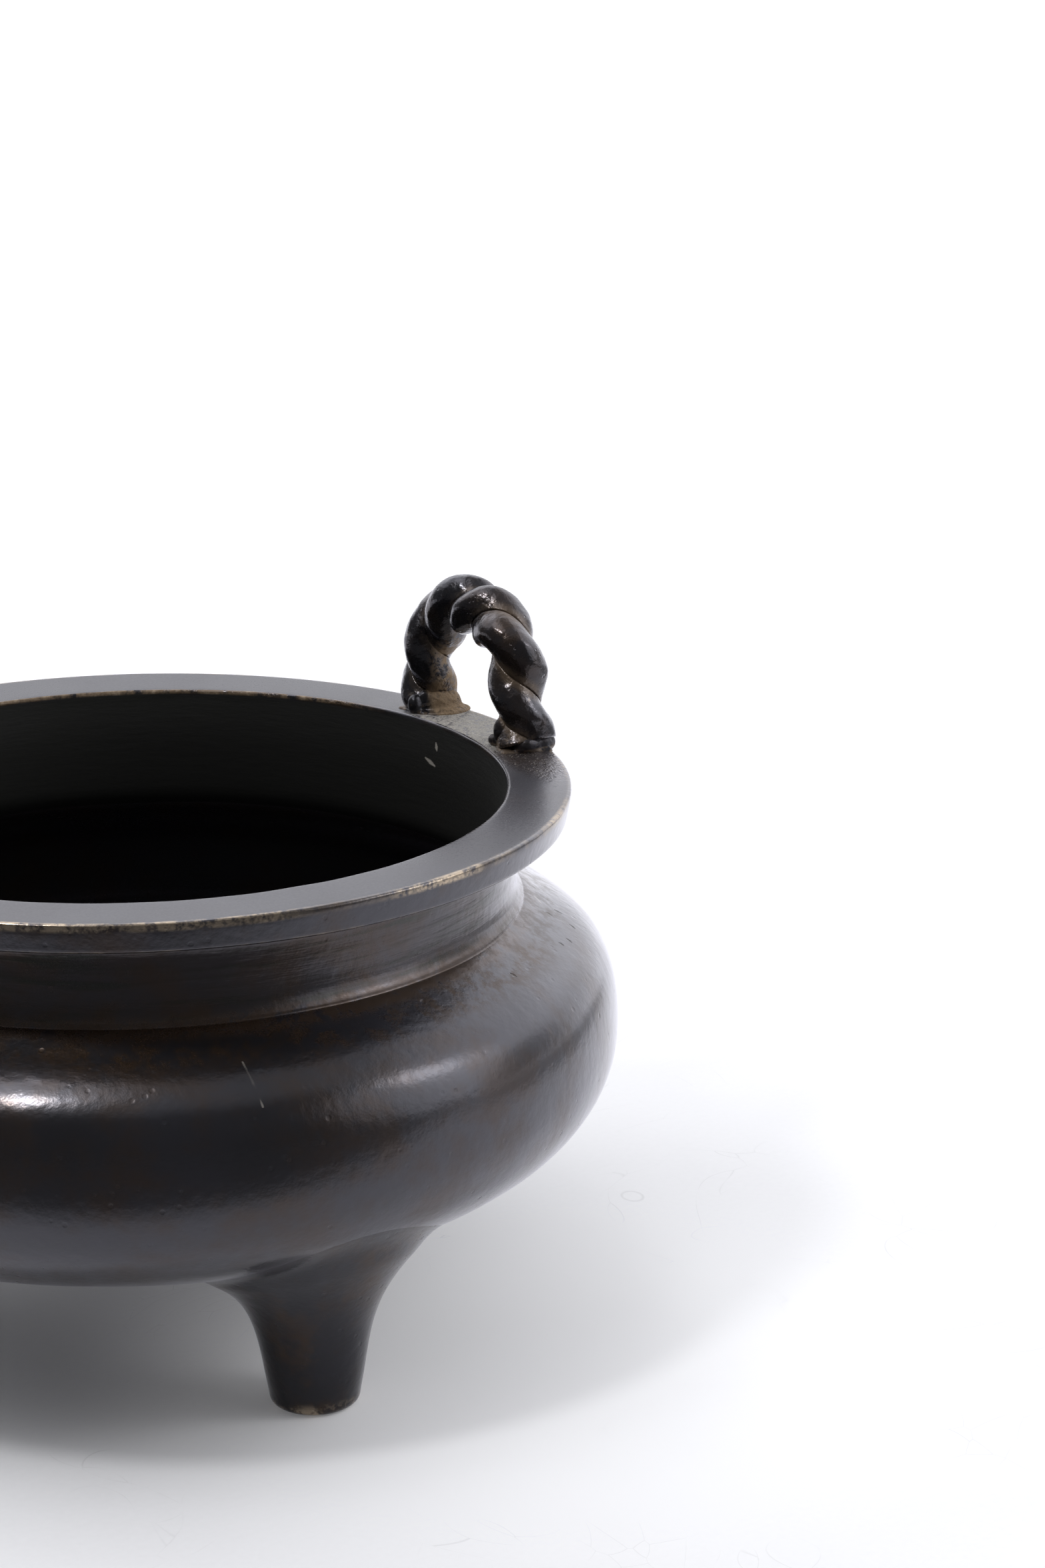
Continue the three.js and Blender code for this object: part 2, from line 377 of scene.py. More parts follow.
def lightRoom():
    world = bpy.data.worlds.new("room")
    bpy.context.scene.world = world
    world.use_nodes = True
    world.node_tree.nodes.clear()
    start = Wire(world.node_tree, None)
    x, y, z = start.node("TexCoord", {}, {}, 0).parts()
    towards = direction(studio["wallFrom"], 0)
    side = (x * towards.x + y * towards.y).between(*studio["wallReach"])
    low = studio["lowLight"]
    bright = z.between(*studio["wallRise"]) * (studio["wallLight"] - low) + low
    walls = side * (bright - studio["darkLight"]) + studio["darkLight"]
    high = z.between(*studio["ceilingRise"])
    light = walls * (1 - high) + high * studio["ceilingLight"]
    for middle, reach, strength in studio["panels"]:
        towards = direction(*middle)
        light = light + (x * towards.x + y * towards.y + z * towards.z).between(*reach) * strength
    tone = start.node("Background", {}, {"Color": (*studio["white"], 1), "Strength": light})
    output = world.node_tree.nodes.new("ShaderNodeOutputWorld")
    world.node_tree.links.new(tone.socket, output.inputs["Surface"])


lightRoom()

board = {
    "span": 8,
    "tone": 0.93,
    "roughness": 0.75,
    "fibreScale": 900,
    "fibreDepth": 0.04,
    "smudgeScale": 14,
    "smudgeDepth": 0.02,
    "hairScale": 26,
    "hairBend": 9,
    "hairWidth": 0.011,
    "hairDepth": 0.12,
    "hairPatches": (34, 3),  # scale and detail of the noise that keeps them to a few places
    "speckScale": 60,
    "speckSize": (0.012, 0.03),
    "speckDepth": 0.4,
    "speckPatches": (41, 1),
    "paintedShadeTone": 0.10,  # painted shade on the floor behind the camera, standing for the room's dark side that the neck and the belly mirror
    "shadeFrom": -125,  # azimuth towards it
    "shadeReach": (0.095, 0.17),  # metres from the bowl's axis
    "farShade": ((0.63, -0.16, 0), (0.28, 0.42), 0.85),  # a patch of painted shade out of sight to the right, which the belly mirrors
    "keyGlow": 0.34,  # makes up for the key lamp's fall-off
    "nearGlow": ((0.038, -0.06, 0), (0.025, 0.08), 0.14),  # in the bowl's shadow
}


def paintFloor():
    material, start = newMaterial("pale_board")
    place = start.node("TexCoord", {}, {}, 3)
    x, y, z = place.parts()
    fibre = place.noise(board["fibreScale"], 2)
    smudge = place.noise(board["smudgeScale"], 4, 0.6).between(0.35, 0.75)
    tone = (fibre - 0.5) * board["fibreDepth"] + board["tone"] - smudge * board["smudgeDepth"]
    bend = place.node("TexNoise", {}, {"Vector": place, "Scale": board["hairBend"]}, 1)
    hair = place.vector("ADD", place, bend).cells(board["hairScale"], "DISTANCE_TO_EDGE")
    hairMask = 1 - hair.between(0.0, board["hairWidth"])
    hairMask = hairMask * place.noise(*board["hairPatches"]).between(0.52, 0.62)
    speck = 1 - place.cells(board["speckScale"]).between(*board["speckSize"])
    speck = speck * place.noise(*board["speckPatches"]).between(0.52, 0.6)
    tone = tone * (1 - hairMask * board["hairDepth"]) * (1 - speck * board["speckDepth"])
    # Painted shade: the floor is darkened behind the camera and in a patch to the right
    towards = direction(board["shadeFrom"], 0)
    shade = (x * towards.x + y * towards.y).between(*board["shadeReach"])
    tone = tone * (1 - shade) + shade * board["paintedShadeTone"]
    middle, reach, dark = board["farShade"]
    tone = tone * (1 - (1 - place.awayFrom(middle).between(*reach)) * dark)
    key = Vector(studio["keyPlace"])
    share = (key.length / place.awayFrom(key)).power(3).smaller(1)  # of the key lamp's light
    lit = (1 - share).power(2) * (1 - shade) * board["keyGlow"]
    middle, reach, strength = board["nearGlow"]
    lit = lit + (1 - place.awayFrom(middle).between(*reach)) * strength
    seen = start.node("LightPath", {}, {}, "Is Camera Ray")
    for ray in ("Is Glossy Ray", "Is Transmission Ray"):
        seen = seen + start.node("LightPath", {}, {}, ray)
    lit = lit * seen.smaller(1)  # the glow is seen and mirrored, and lights nothing
    base = start.node("CombineColor", {}, {0: tone, 1: tone, 2: (tone * 1.02).smaller(0.98)})
    glow = start.node("CombineColor", {}, {0: lit, 1: lit, 2: lit * 1.02})
    sockets = {
        "Base Color": base,
        "Roughness": board["roughness"],
        "Emission Color": glow,
        "Emission Strength": 1.0,
    }
    shader = start.node("BsdfPrincipled", {}, sockets)
    output = start.tree.nodes.new("ShaderNodeOutputMaterial")
    start.tree.links.new(shader.socket, output.inputs["Surface"])
    return material


deselectAll()
bpy.ops.mesh.primitive_plane_add(size=board["span"], location=(0, 0, 0))
floor = bpy.context.object
floor.name = "floor"
floor.data.materials.append(paintFloor())
print("studio lit")


# Bronze

patina = {
    "black": paint(0.020, 0.0195, 0.022),
    "brown": paint(0.054, 0.033, 0.019),
    "grey": paint(0.034, 0.034, 0.043),
    "green": paint(0.022, 0.029, 0.020),
    "brass": paint(0.42, 0.34, 0.25),
    "film": paint(0.098, 0.097, 0.110),  # fine dust on the lip
    # the tone of the bowl's inside, darker and duller than the outside
    "insideBlack": paint(0.016, 0.016, 0.015),
    # pale: painted glints in the sand and grit, and pale scratches
    "pale": paint(0.62, 0.58, 0.52),
    "dust": paint(0.26, 0.185, 0.115),
    "sand": paint(0.35, 0.33, 0.30),
    "wax": paint(0.91, 0.9, 1),
    "cloudNoise": (22, 4, 0.55),  # scale, detail and roughness
    "mottleNoise": (95, 5, 0.65),
    "fleckNoise": (430, 3, 0.6),
    "grainNoise": (2600, 2, 0.5),
    "clouds": 0.6,  # of grey in the black
    "pitSize": (0.08, 0.22),
    "pitPatches": (160, 2),
    "metallic": 0.6,
    "wornMetallic": 0.25,
    "specular": 0.2,
    "rougher": {"dust": 0.45, "brown": 0.1, "pit": 0.3, "film": 0.12, "dark": 0.35, "wear": -0.05},
    "roughnessRange": (0.12, 0.95),
    "dustHeight": 0.2,  # mm
    "refraction": 1.5,  # of the wax
}


def bronze(name, look, masks):
    material, start = newMaterial(name)
    place = start.node("TexCoord", {}, {}, 3)
    cloud = place.noise(*patina["cloudNoise"]).between(0.38, 0.66)
    mottle = place.noise(*patina["mottleNoise"]).between(0.42, 0.68)
    fleck = place.noise(*patina["fleckNoise"]).between(0.55, 0.72)
    grain = place.noise(*patina["grainNoise"])
    peel = place.noise(look["peelScale"], 3, 0.55)
    extra = masks(place)
    none = grain * 0
    wear = extra.get("wear", none)
    dust = extra.get("dust", none)
    sand = extra.get("sand", none)
    brown = extra.get("brown", none)
    film = extra.get("film", none)
    dark = extra.get("dark", none)
    dull = extra.get("dull", none)
    ground = {0: cloud * patina["clouds"], 6: patina["black"], 7: patina["grey"]}
    tone = start.node("Mix", {"data_type": "RGBA"}, ground, 2)
    layers = (
        ("brown", (mottle * look["brown"] + brown).smaller(1)),
        ("green", extra.get("green", none)),
        ("grey", fleck * look["fleck"]),
        ("film", film),
        ("insideBlack", dark),
        ("dust", dust),
        ("sand", sand),
        ("brass", wear),
        ("pale", extra.get("paintedGlint", none)),
    )
    for colour, mask in layers:
        tone = tone.blend(patina[colour], mask)
    dust = dust.larger(sand)
    clean = (1 - film) * (1 - dark)
    pit = 1 - place.cells(look["pitScale"]).between(*patina["pitSize"])
    pit = pit * place.noise(*patina["pitPatches"]).between(0.5, 0.62) * look["pits"] * clean
    roughness = (cloud - 0.5) * 0.08 + (grain - 0.5) * 0.2 + look["roughness"]
    rougher = {"dust": dust, "brown": brown, "pit": pit, "film": film, "dark": dark, "wear": wear}
    for layer, amount in patina["rougher"].items():
        roughness = roughness + rougher[layer] * amount
    smoothest, roughest = patina["roughnessRange"]
    relief = (peel - 0.5) * clean * (look["peel"] * mm) + (grain - 0.5) * clean * (look["grain"] * mm)
    relief = relief - pit * (look["pitDepth"] * mm) + (mottle * dust) * (patina["dustHeight"] * mm)
    relief = relief + extra.get("relief", none)
    normal = start.node("Bump", {}, {"Height": relief, "Distance": 1.0})
    metal = (1 - dust) * (1 - film) * (1 - dark) * patina["metallic"] + wear * patina["wornMetallic"]
    sockets = {
        "Base Color": tone,
        "Roughness": roughness.larger(smoothest).smaller(roughest),
        "Metallic": metal.smaller(1),
        "Specular IOR Level": patina["specular"],
        "Normal": normal,
    }
    shader = start.node("BsdfPrincipled", {}, sockets)
    sockets = {"Base Color": patina["wax"], "Roughness": look["gloss"], "Metallic": 1, "Normal": normal}
    wax = start.node("BsdfPrincipled", {}, sockets)
    waxed = (1 - dust) * (1 - film * 0.95) * (1 - dark) * (1 - wear * 0.5)
    waxed = waxed * (1 - dull) * (1 - mottle * 0.25) * look["wax"]
    gloss = start.node("Fresnel", {}, {"IOR": patina["refraction"], "Normal": normal}) * waxed
    shader = start.node("MixShader", {}, {0: gloss, 1: shader, 2: wax})
    output = start.tree.nodes.new("ShaderNodeOutputMaterial")
    start.tree.links.new(shader.socket, output.inputs["Surface"])
    return material


# Bowl

bowl = {
    "sides": 128,
    "underRadius": 30,
    "underHeight": 19,
    "underRings": ((6, 18.7), (18, 18.75), (27, 18.9)),
    "bellyRadius": 72,
    "bellyHeight": 42.9,
    "foldRadius": 58,
    "foldHeight": 62.7,
    "flankShares": ((0.364, 0.93), 0.576),  # inward and down of the first guide, down of the second
    "shoulderShares": (0.257, (0.572, 0.302)),
    "step": ((57.7, 62.78), (57.62, 63.0), (57.6, 63.3), (57.45, 63.55), (57.0, 64.2), (56.65, 65.2)),
    "neckRadius": 56.5,
    "neckHeights": (66.8, 69, 71.4),
    "cove": ((0.05, 73.4), (0.6, 74.5), (2.1, 75.1)),  # out from the neck, height
    "bandLean": 0.7,
    "bandFoot": ((-2.2, 75.5), (-0.35, 75.8), (0, 76.0), (0.08, 76.5)),  # out from the band's foot
    "lipRadius": 65,
    "lipHeight": 80.3,
    "lipEdge": ((-0.3, 78), (-0.05, 79.2), (0, 79.8), (-0.05, 80.08), (-0.25, 80.24), (-0.6, 80.29)),
    "topRadii": (63.6, 60, 57),
    "mouthRadius": 55.4,
    "mouthEdge": ((0.4, 0), (0.12, 0.08), (0, 0.3), (-0.06, 0.7)),  # out from the mouth, down
    "innerNeck": 54,
    "innerRings": ((1.15, 78.5), (0.7, 76.3), (0.15, 73), (0, 68), (0, 64), (0.2, 62.2)),
    "wall": 3.2,
    "floorHeight": 22.2,
    "floorRadii": (24, 12, 5),
    "backLip": (110, 0.55, -0.15),  # azimuth where it's bent, rise of its outer and inner edge
    "lipFrom": (79, 74),  # heights between which the casting grows uneven, downwards
    "lipUneven": 0.1,  # share of the unevenness that is left on the lip
    "bendFrom": 50,  # radius from which the lip is bent
    "lumpSize": 34,
    "lumpDepth": 2,
    "lumpHeight": 0.35,
}
bronzeLook = {
    "brown": 0.6, "fleck": 0.25, "roughness": 0.20, "peel": 0.055, "peelScale": 560, "grain": 0.005,
    "pitScale": 420, "pits": 0.5, "pitDepth": 0.05, "wax": 1.1, "gloss": 0.235,
}


def flankPoints(steps):
    b = bowl
    fall = b["bellyHeight"] - b["underHeight"]
    run = b["bellyRadius"] - b["underRadius"]
    (inward, down), secondDown = b["flankShares"]
    start = (b["underRadius"], b["underHeight"])
    first = (b["bellyRadius"] - run * inward, b["bellyHeight"] - fall * down)
    second = (b["bellyRadius"], b["bellyHeight"] - fall * secondDown)
    return bezier(start, first, second, (b["bellyRadius"], b["bellyHeight"]), steps)


def shoulderPoints(steps):
    b = bowl
    rise = b["foldHeight"] - b["bellyHeight"]
    run = b["bellyRadius"] - b["foldRadius"]
    firstDown, (out, down) = b["shoulderShares"]
    start = (b["bellyRadius"], b["bellyHeight"])
    first = (b["bellyRadius"], b["foldHeight"] - rise * firstDown)
    second = (b["foldRadius"] + run * out, b["foldHeight"] - rise * down)
    return bezier(start, first, second, (b["foldRadius"], b["foldHeight"]), steps)


def inwards(points, distance):  # an inner wall beside a line of points that runs upwards
    moved = []
    for i, (radius, height) in enumerate(points):
        before = points[max(0, i - 1)]
        after = points[min(len(points) - 1, i + 1)]
        run = Vector((after[0] - before[0], after[1] - before[1])).normalized()
        moved.append((radius - run.y * distance, height + run.x * distance))
    return moved


def bowlRings():  # (radius, height) from the middle of the underside, over the lip, to the floor
    b = bowl
    top = b["lipHeight"]
    rings = list(b["underRings"]) + flankPoints(20) + shoulderPoints(18)[1:] + list(b["step"])
    rings += [(b["neckRadius"], height) for height in b["neckHeights"]]
    rings += [(b["neckRadius"] + out, height) for out, height in b["cove"]]
    rings += [(b["lipRadius"] - b["bandLean"] + out, height) for out, height in b["bandFoot"]]
    rings += [(b["lipRadius"] + out, height) for out, height in b["lipEdge"]]
    rings += [(radius, top) for radius in b["topRadii"]]
    rings += [(b["mouthRadius"] + out, top - down) for out, down in b["mouthEdge"]]
    rings += [(b["innerNeck"] + out, height) for out, height in b["innerRings"]]
    rings += inwards(shoulderPoints(12), b["wall"])[::-1]
    rings += inwards(flankPoints(14), b["wall"])[::-1][1:-1]
    rings += [(radius, b["floorHeight"]) for radius in (b["underRadius"], *b["floorRadii"])]
    return rings


def makeBowl():
    rings = bowlRings()
    piece = addRing("bowl_casting", bowl["sides"], rings[0][0], (0, 0, rings[0][1]))
    growRings(rings)
    closeRing()
    objectMode()
    closeRingAt(piece, rings[0][1])
    objectMode()
    turnOutwards()
    wearLip(piece)
    smooth(piece, 1)
    applyModifiers(piece)
    bendLip(piece)
    roughen(piece, bowl, "uneven")
    applyModifiers(piece)
    return piece


def wearLip(piece):  # the edges of the lip and of its band are worn unevenly
    edges = (  # low and high, least and greatest radius, how far the points go, seed
        (79.7, 80.2, 63.5, 72, 0.16, 4),
        (75.9, 76.1, 63.5, 72, 0.05, 9),
        (79.5, 80.29, 0, 56.2, 0.12, 21),
    )
    for low, high, least, greatest, amount, seed in edges:
        heights = (low * mm, high * mm)
        radii = (least * mm, greatest * mm)
        selectWhere(piece, lambda co: heights[0] < co.z < heights[1] and radii[0] < co.xy.length < radii[1])
        bpy.ops.transform.vertex_random(offset=amount * mm, seed=seed)
        objectMode()


def bendLip(piece):
    azimuth, rise, dip = bowl["backLip"]
    back = direction(azimuth, 0).xy
    uneven = piece.vertex_groups.new(name="uneven")
    for vertex in piece.data.vertices:
        radius = vertex.co.xy.length / mm
        below = shareBetween(vertex.co.z / mm, *bowl["lipFrom"])
        uneven.add([vertex.index], bowl["lipUneven"] + (1 - bowl["lipUneven"]) * below, "REPLACE")
        share = max(0, vertex.co.xy.dot(back) / mm / max(1, radius)) * (1 - below)
        share = share * (radius > bowl["bendFrom"])
        out = (radius - bowl["mouthRadius"]) / (bowl["lipRadius"] - bowl["mouthRadius"])
        vertex.co.z += share * (dip + (rise - dip) * out) * mm


bowlWear = {  # radii and heights in mm: a soft step's start and end, or a band's middle, half and softness
    "raggedNoise": (300, 4, 0.7),  # scale, detail and roughness
    "fineNoise": (1500, 3, 0.6),
    "patchNoise": (60, 3, 0.6),
    "edgeRadius": (64.05, 64.45),  # of the lip, worn to brass
    "edgeHeight": (78.9, 79.5),
    "bandEdgeLineHeight": (76.0, 0.22, 0.15),  # the band's foot, where a thin brass line is partly wear and partly painted highlight
    "bandEdgeLineRadius": (63.6, 64.0),
    "mouthRadius": (55.4, 0.28, 0.12),  # a worn line round the back of the mouth
    "mouthHeight": (79.4, 79.8),
    "mouthTurn": (0.25, 0.6),  # tangents of the azimuth, away from the handles
    "topHeight": (79.4, 79.7),  # the lip's top
    "topInside": (55.6, 55.9),
    "topOutside": (64.2, 64.6),
    "handleOut": (50, 54),
    "sandAlong": (-1.5, 13, 2.5),  # between a handle's feet
    "gritAlong": (-22, 10, 6),  # beside them
    "sandDepth": 0.25,
    "paintedGlintScale": 2100,
    "insideRadius": (55.25, 55.4),
    "insideHeight": (20, 21),
    "streakScale": (3200, 0.8),  # round the neck and upwards
    "streakDepth": 0.07,
    "lineScale": (9000, 0.9),  # marks of turning inside
    "lineDepth": 0.06,
    "neckHeight": (69, 5.5, 2.0),
    "neckRadius": (56.5, 1.2, 0.5),
    "foldHeight": (62.6, 1.4, 1.0),
    "foldRadius": (58.2, 1.8, 1.0),
    "soilHeight": (61.2, 3.4, 2.6),
    "soilRadius": (60, 4.5, 2.5),
    "underHeight": (24, 34),  # the dull underside
    "underRadius": (20, 24),
    "footTurns": (-90, 30, 150),
    "footTop": (0.05, 0.022),  # metres out and up
    "footReach": (0.016, 0.034),  # metres round a foot's top, duller still
    "footBelow": (21, 22),
    "filmThinSpot": ((0.049, -0.036, 0.08), (0.006, 0.022)),  # where the lip's top is darker, with less film
    "nickHeight": (50, 52),
    "nickTop": (64, 66),
    "nickDepth": 0.15,
    "nicks": (  # on the shoulder, dark; seen from above
        ((53.2, -32.6, 0), (54.1, -33.1, 0), 0.45), ((50.2, -34.8, 0), (50.9, -35.3, 0), 0.4),
        ((53.4, -36.4, 0), (53.8, -37.2, 0), 0.4), ((49.4, -41.6, 0), (49.8, -42.3, 0), 0.35),
        ((46.8, -43.5, 0), (47.3, -43.9, 0), 0.35), ((31.8, -53.4, 0), (32.5, -53.9, 0), 0.4),
    ),
    "scratches": (  # pale
        ((51.3, -29.8, 61.9), (51.1, -32.6, 60.8), 0.3), ((-16.5, -61.4, 59.1), (-16.7, -67.2, 54.6), 0.5),
        ((54.75, 3.8, 77.3), (54.7, 3.2, 76.1), 0.5), ((54.0, 5.9, 74.5), (54.2, 3.3, 73.7), 0.5),
    ),
}


def bowlMasks(place):
    w = bowlWear
    x, y, z = place.parts()
    height = z / mm
    out = (x * x + y * y).power(0.5) / mm
    ragged = place.noise(*w["raggedNoise"])
    fine = place.noise(*w["fineNoise"])
    patchy = place.noise(*w["patchNoise"]).between(0.36, 0.62)

    edge = out.between(*w["edgeRadius"]) * height.between(*w["edgeHeight"])
    wear = edge * (ragged * 0.6 + fine * 0.4).between(0.40, 0.58) * (patchy * 0.85 + 0.15)
    # A faint brass line along the band's foot: partly a worn edge, partly a painted highlight
    bandEdgeLine = height.band(*w["bandEdgeLineHeight"]) * out.between(*w["bandEdgeLineRadius"])
    wear = wear.larger(bandEdgeLine * ragged.between(0.42, 0.66) * 0.3)
    mouth = out.band(*w["mouthRadius"]) * height.between(*w["mouthHeight"])
    mouth = mouth * (y / x).size().between(*w["mouthTurn"]) * y.between(0, 0.01)
    wear = wear.larger(mouth * ragged.between(0.54, 0.7) * 0.7)

    top = height.between(*w["topHeight"]) * out.between(*w["topInside"])
    top = top * (1 - out.between(*w["topOutside"]))
    side = x.math("SIGN", x)
    along = y * side / mm  # along the lip past each handle
    byHandle = (x * side / mm).between(*w["handleOut"])
    sand = byHandle * along.band(*w["sandAlong"]) * top * (fine * 0.8 + ragged * 0.2).between(0.36, 0.52)
    grit = byHandle * along.band(*w["gritAlong"]) * top
    # Painted glints: pale dots in the sand and grit that stand for grains catching the light
    paintedGlint = 1 - place.cells(w["paintedGlintScale"]).between(0.12, 0.26)
    paintedGlint = paintedGlint * place.noise(900, 1).between(0.44, 0.54)
    spot, reach = w["filmThinSpot"]
    filmThinSpot = 1 - place.awayFrom(spot).between(*reach)

    inside = (1 - out.between(*w["insideRadius"])) * height.between(*w["insideHeight"])
    scale, rise = w["lineScale"]
    turning = (x / out * scale).joined(y / out * scale, (height + out) * rise)
    lines = turning.noise(1.0, 3, 0.65)
    neck = height.band(*w["neckHeight"]) * out.band(*w["neckRadius"])
    scale, rise = w["streakScale"]
    around = (x / out * scale).joined(y / out * scale, height * rise)
    streak = around.noise(1.0, 3, 0.6)
    fold = height.band(*w["foldHeight"]) * out.band(*w["foldRadius"])
    soil = height.band(*w["soilHeight"]) * out.band(*w["soilRadius"]) * ragged.between(0.42, 0.62)

    footOut, footUp = w["footTop"]
    below = 1 - height.between(*w["footBelow"])
    under = (1 - height.between(*w["underHeight"])) * out.between(*w["underRadius"]) * 0.25
    for turn in w["footTurns"]:
        footTop = direction(turn, 0) * footOut + Vector((0, 0, footUp))
        under = under.larger((1 - place.awayFrom(footTop).between(*w["footReach"])) * 0.5 * below)

    fromAbove = place.vector("MULTIPLY", place, (1, 1, 0))
    shoulder = height.between(*w["nickHeight"]) * (1 - height.between(*w["nickTop"]))
    nicks = strokes(fromAbove, w["nicks"]) * shoulder
    scratches = strokes(place, w["scratches"])
    relief = (lines - 0.5) * inside * (w["lineDepth"] * mm)
    relief = relief + (streak - 0.5) * neck * (w["streakDepth"] * mm)
    relief = relief + (fine - 0.5) * (sand + grit) * (w["sandDepth"] * mm) - nicks * (w["nickDepth"] * mm)
    brown = (fold * ragged.between(0.3, 0.5)).larger(grit * 0.6).larger(soil * 0.8)
    dull = (soil * 0.5).larger(nicks * 0.8)
    return {
        "wear": wear,
        "brown": brown + neck * streak * 0.5,
        "green": neck * streak.between(0.5, 0.7) * 0.7,
        "dull": dull + neck * streak.between(0.45, 0.65) * 0.25 + under,
        "film": top * (1 - grit * 0.7) * (fine * 0.15 + 0.85) * (1 - filmThinSpot * 0.35),
        "sand": sand * 0.85,
        "dust": mouth * ragged.between(0.38, 0.54) * 0.7,
        # painted glints in the sand and grit, with the pale scratches
        "paintedGlint": (paintedGlint * (sand + grit).smaller(1) * 0.9).larger(scratches * 0.45),
        "dark": inside,
        "relief": relief,
    }


bowlPiece = makeBowl()
finishPiece(bowlPiece, "bowl", bronze("bowl_bronze", bronzeLook, bowlMasks))
print("bowl cast", len(bowlPiece.data.polygons))


# Feet

foot = {
    "sides": 64,
    "circle": 50.0,  # bowl's axis to a foot's axis
    "soleRadii": (1.5, 3.4, 4.5),
    "soleEdge": ((6.3, 0), (6.7, 0.5)),  # guides of the sole's rounding
    "ankle": (6.7, 2),
    "shin": (8.3, 10.2),
    "calf": (8.2, 19),
    "flare": 21.2,
    "flareEnds": ((3, 0.28), (1.5, 0.06), (0, 0)),  # in from the rim, below the belly's underside
    "climb": 2.9,
    "level": 3,  # height over which the casting grows uneven, from a level sole
    "wrap": (14.5, 20.8),  # distances from the foot's axis over which it settles on the belly
    "blend": (15.5, 20),  # the same for its shading
    "sink": 0.1,
    "lumpSize": 12,
    "lumpDepth": 2,
    "lumpHeight": 0.18,
}
bellyLine = flankPoints(200)


def undersideAt(radius):  # height of the belly's underside
    if radius <= bowl["underRadius"]:
        return bowl["underHeight"]
    for (r0, h0), (r1, h1) in zip(bellyLine, bellyLine[1:]):
        if r0 <= radius <= r1:
            return h0 + (h1 - h0) * (radius - r0) / (r1 - r0)
    return bowl["bellyHeight"]


def footRings(top):  # (radius, height) from the sole to the rim
    inner, outer, sole = foot["soleRadii"]
    ends = [(foot["flare"] - back, top - below) for back, below in foot["flareEnds"]]
    edge = bezier((sole, 0), *foot["soleEdge"], foot["ankle"], 5)
    flare = bezier(foot["ankle"], foot["shin"], foot["calf"], ends[0], 22)
    return [(inner, 0), (outer, 0)] + edge + flare[1:] + ends[1:]


def makeFoot():
    top = undersideAt(foot["circle"])
    rings = footRings(top)
    piece = addRing("front_foot_casting", foot["sides"], rings[0][0], (0, 0, 0))
    growRings(rings)
    objectMode()
    for vertex in piece.data.vertices:  # raised with the belly's underside, the more the higher
        height = vertex.co.z / mm
        out = min((vertex.co.xy - Vector((0, foot["circle"] * mm))).length / mm, bowl["bellyRadius"] - 0.5)
        climb = min(1, height / top) ** foot["climb"]
        vertex.co.z = (height + (undersideAt(out) - top) * climb) * mm
    closeRingAt(piece, 0)
    objectMode()
    smooth(piece, 1)
    applyModifiers(piece)
    uneven = piece.vertex_groups.new(name="uneven")
    for vertex in piece.data.vertices:
        uneven.add([vertex.index], shareBetween(vertex.co.z / mm, 0, foot["level"]), "REPLACE")
    roughen(piece, foot, "uneven")
    applyModifiers(piece)
    for groupName, reach in (("rim", foot["wrap"]), ("shading", foot["blend"])):
        group = piece.vertex_groups.new(name=groupName)
        for vertex in piece.data.vertices:
            share = shareBetween(vertex.co.xy.length / mm, *reach)
            group.add([vertex.index], share * share * (3 - 2 * share), "REPLACE")
    editMode()
    bpy.ops.mesh.select_all(action="SELECT")
    bpy.ops.transform.translate(value=(0, -foot["circle"] * mm, 0))
    objectMode()
    settleOnBelly(piece)
    return piece


def settleOnBelly(piece):
    wrap = {"target": bowlPiece, "offset": -foot["sink"] * mm, "wrap_mode": "ABOVE_SURFACE"}
    wrap["vertex_group"] = "rim"
    addModifier(piece, "SHRINKWRAP", wrap)
    applyModifiers(piece)
    turnOutwards()
    bpy.ops.object.shade_smooth()
    blend = {"object": bowlPiece, "use_loop_data": True, "data_types_loops": {"CUSTOM_NORMAL"}}
    blend["loop_mapping"] = "POLYINTERP_NEAREST"  # the belly's shading runs on over the rim
    blend["vertex_group"] = "shading"
    addModifier(piece, "DATA_TRANSFER", blend)
    applyModifiers(piece)


footPiece = makeFoot()
print("feet", len(footPiece.data.polygons))

footWear = {
    "raggedNoise": (260, 4, 0.7),  # scale, detail and roughness
    "stainNoise": (150, 4, 0.65),
    "soleWear": (0.6, 2.6),  # heights over which the brass ends
    "dullFrom": (8, 20),  # heights over which the shin gets glossier
    "dullSole": 0.7,
    "dullFall": 0.2,
}


def footMasks(place):
    height = place.parts()[2] / mm
    wear = 1 - height.between(*footWear["soleWear"])
    wear = wear * place.noise(*footWear["raggedNoise"]).between(0.46, 0.62)
    stain = place.noise(*footWear["stainNoise"]).between(0.5, 0.66)
    dull = footWear["dullSole"] - height.between(*footWear["dullFrom"]) * footWear["dullFall"]
    return {"wear": wear * 0.8, "dull": dull, "brown": stain * 0.5}


footBronze = bronze("foot_bronze", bronzeLook, footMasks)
for name, turn in (("right_rear_foot", 120), ("left_rear_foot", 240)):
    footCopy = copyPiece(footPiece, name + "_casting", math.radians(turn))
    finishPiece(footCopy, name, footBronze)
finishPiece(footPiece, "front_foot", footBronze)
print("feet cast")


# Rope handles

